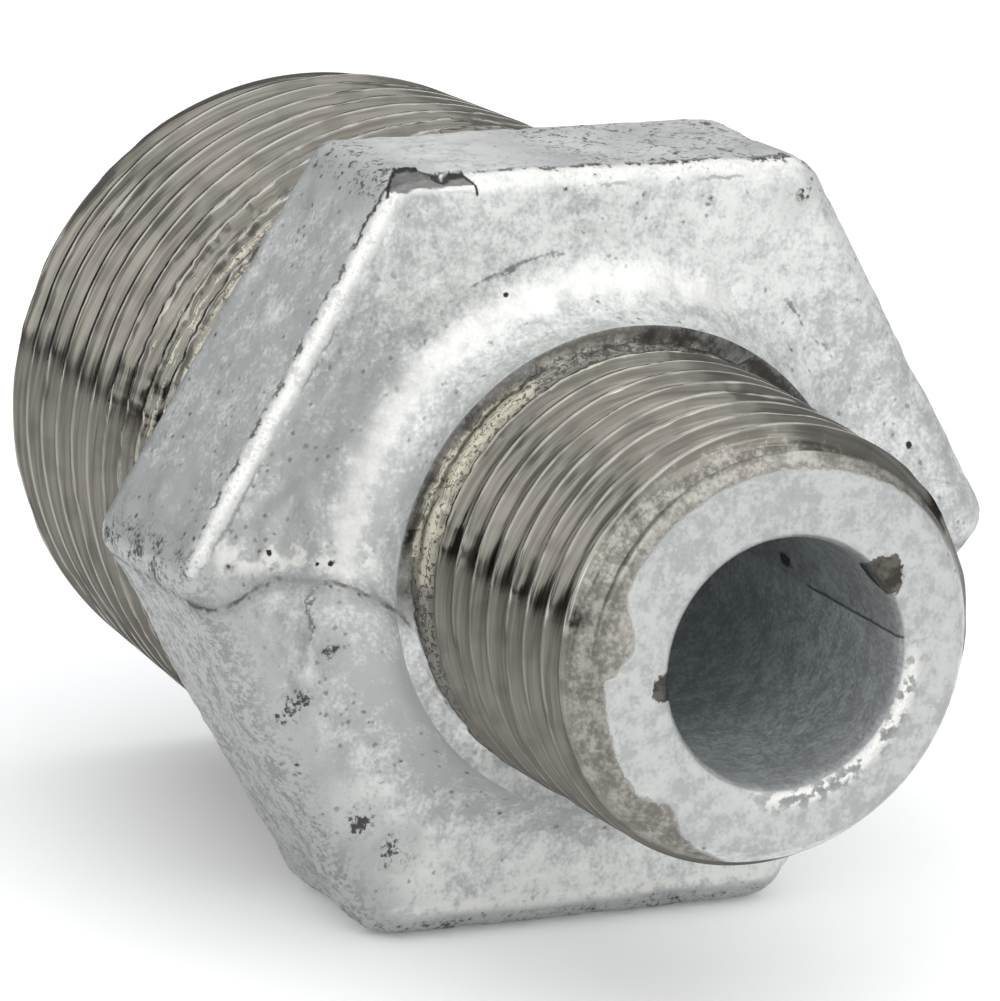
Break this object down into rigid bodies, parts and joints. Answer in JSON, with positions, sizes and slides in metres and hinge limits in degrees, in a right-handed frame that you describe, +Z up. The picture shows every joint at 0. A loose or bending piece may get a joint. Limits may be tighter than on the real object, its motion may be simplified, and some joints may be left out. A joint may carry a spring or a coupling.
{
  "type": "reducing nipple",
  "caption": "Cast iron reducing nipple: a hexagon between a large and a small male tapered pipe thread, with a stepped bore right through.",
  "frame": {"origin": "on the surface it lies on, under the middle of its length: the hexagon's bottom flat is at Z = 0", "axes": "+X along the bore axis towards the small end, +Z up, square to the hexagon's top and bottom flats"},
  "size_m": [0.055, 0.0422, 0.037],
  "materials": {
    "galvanised_iron": "hot-dip galvanised and mottled, with the two threads cut to bare metal"
  },
  "bodies": {
    "root": {"reducing_nipple": "galvanised_iron"}
  },
  "joints": []
}
